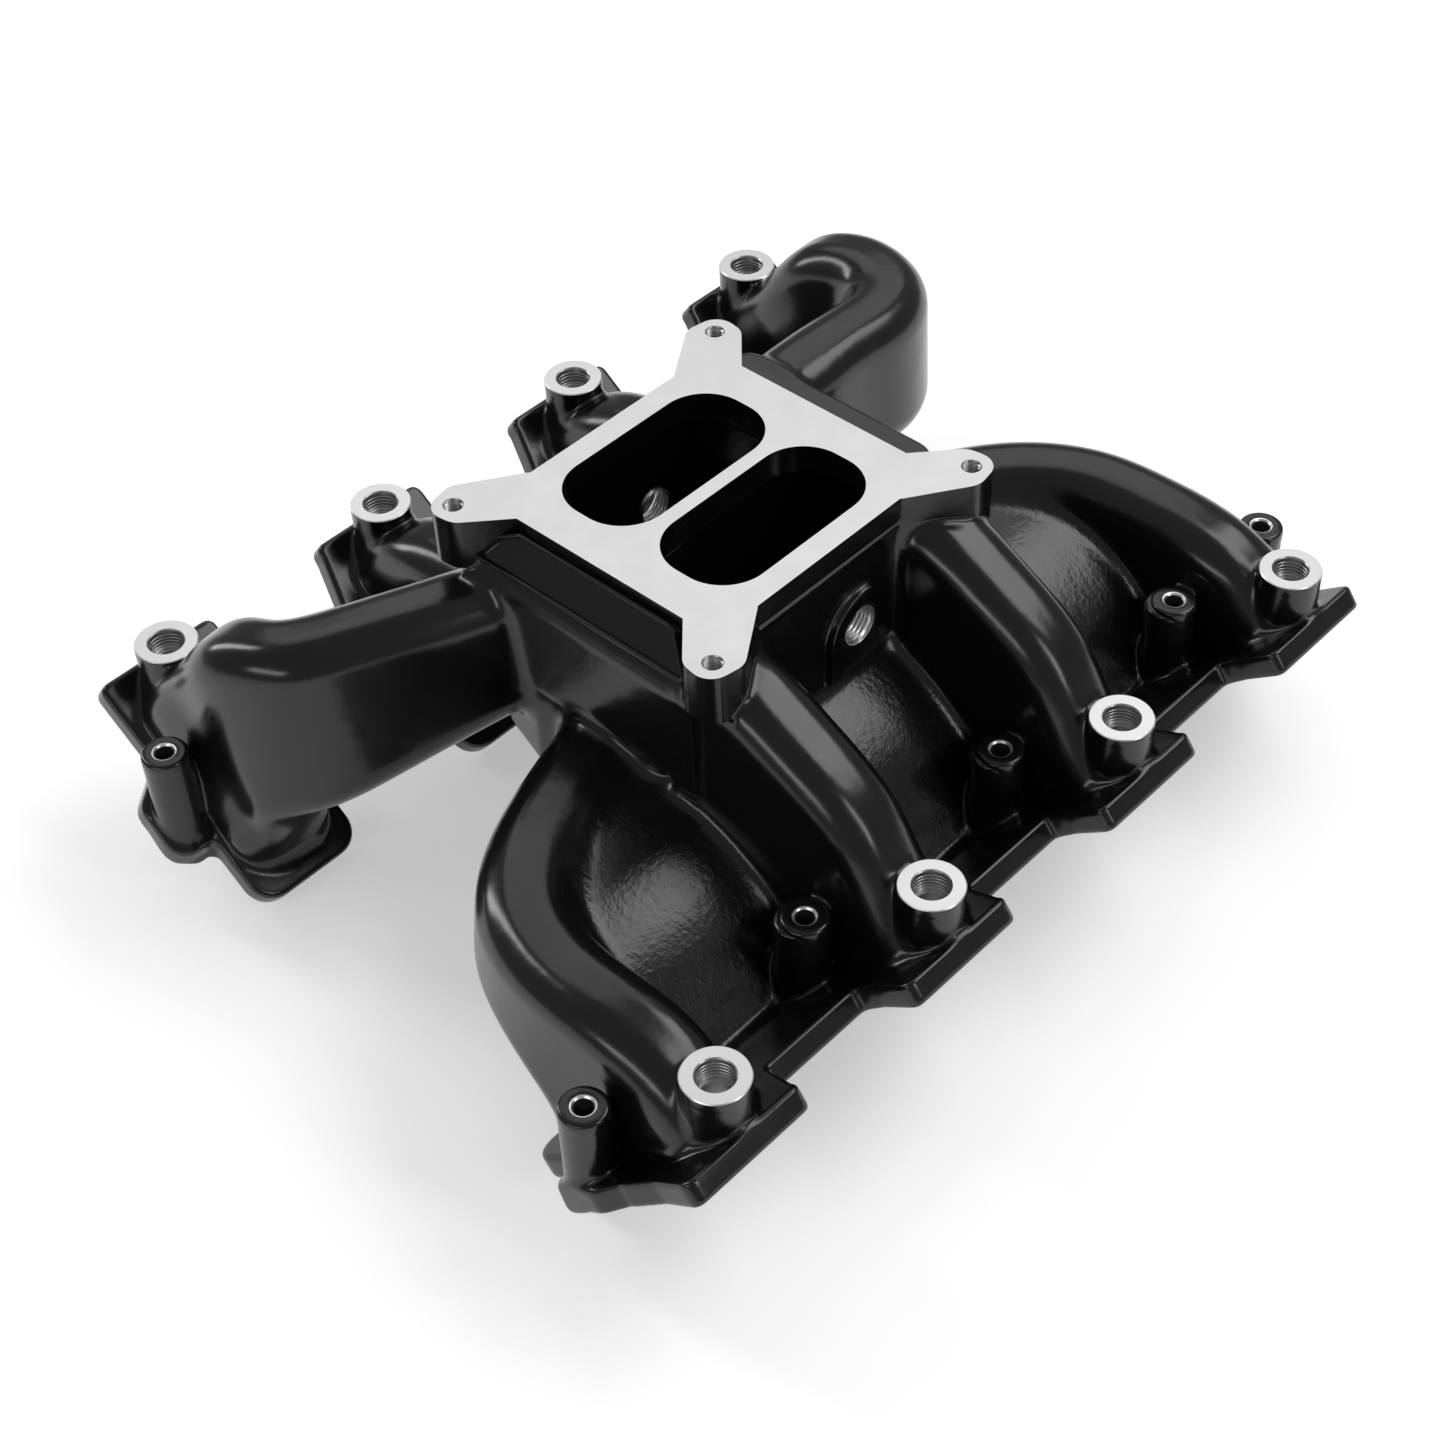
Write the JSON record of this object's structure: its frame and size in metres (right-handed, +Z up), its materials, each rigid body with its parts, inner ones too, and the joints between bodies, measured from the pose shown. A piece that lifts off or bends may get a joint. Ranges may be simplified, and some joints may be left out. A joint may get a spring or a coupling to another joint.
{
  "type": "intake manifold",
  "caption": "Dual-plane V8 intake manifold with a square carburettor pad, curved hollow runners, sloping head flanges, injector bungs and bolt bosses.",
  "frame": {"origin": "centre of the carburettor pad's top face", "axes": "+Z up out of the pad, +Y along the crankshaft, +X towards the right bank"},
  "size_m": [0.3466, 0.4305, 0.1546],
  "materials": {
    "black_coat": "semi-gloss black powder coat over cast aluminium",
    "machined": "bright machined",
    "seal_rubber": "matt moulded rubber"
  },
  "bodies": {
    "root": {"front_panel": "black_coat", "plenum_upper": "black_coat", "plenum_lower": "black_coat", "plenum_divider": "black_coat", "upper_floor": "black_coat", "front_passage_wall": "black_coat", "rear_passage_wall": "black_coat", "pipe_boss_right": "black_coat", "pipe_boss_left": "black_coat", "pipe_rib_right": "black_coat", "pipe_rib_left": "black_coat", "flange_right": "black_coat", "flange_left": "black_coat", "runner_r1": "black_coat", "runner_r2": "black_coat", "runner_r3": "black_coat", "runner_r4": "black_coat", "runner_l1": "black_coat", "runner_l2": "black_coat", "runner_l3": "black_coat", "runner_l4": "black_coat", "boss_r1": "black_coat", "boss_r2": "black_coat", "boss_r3": "black_coat", "boss_r4": "black_coat", "boss_r5": "black_coat", "boss_l1": "black_coat", "boss_l2": "black_coat", "boss_l3": "black_coat", "boss_l4": "black_coat", "boss_l5": "black_coat", "web_r12": "black_coat", "web_r23": "black_coat", "web_r34": "black_coat", "web_l12": "black_coat", "web_l23": "black_coat", "web_l34": "black_coat", "carb_pad": "machined", "bung_r1": "machined", "bung_r2": "machined", "bung_r3": "machined", "bung_r4": "machined", "bung_l1": "machined", "bung_l2": "machined", "bung_l3": "machined", "bung_l4": "machined", "seal_r1": "seal_rubber", "seal_r2": "seal_rubber", "seal_r3": "seal_rubber", "seal_r4": "seal_rubber", "seal_l1": "seal_rubber", "seal_l2": "seal_rubber", "seal_l3": "seal_rubber", "seal_l4": "seal_rubber"}
  },
  "joints": []
}
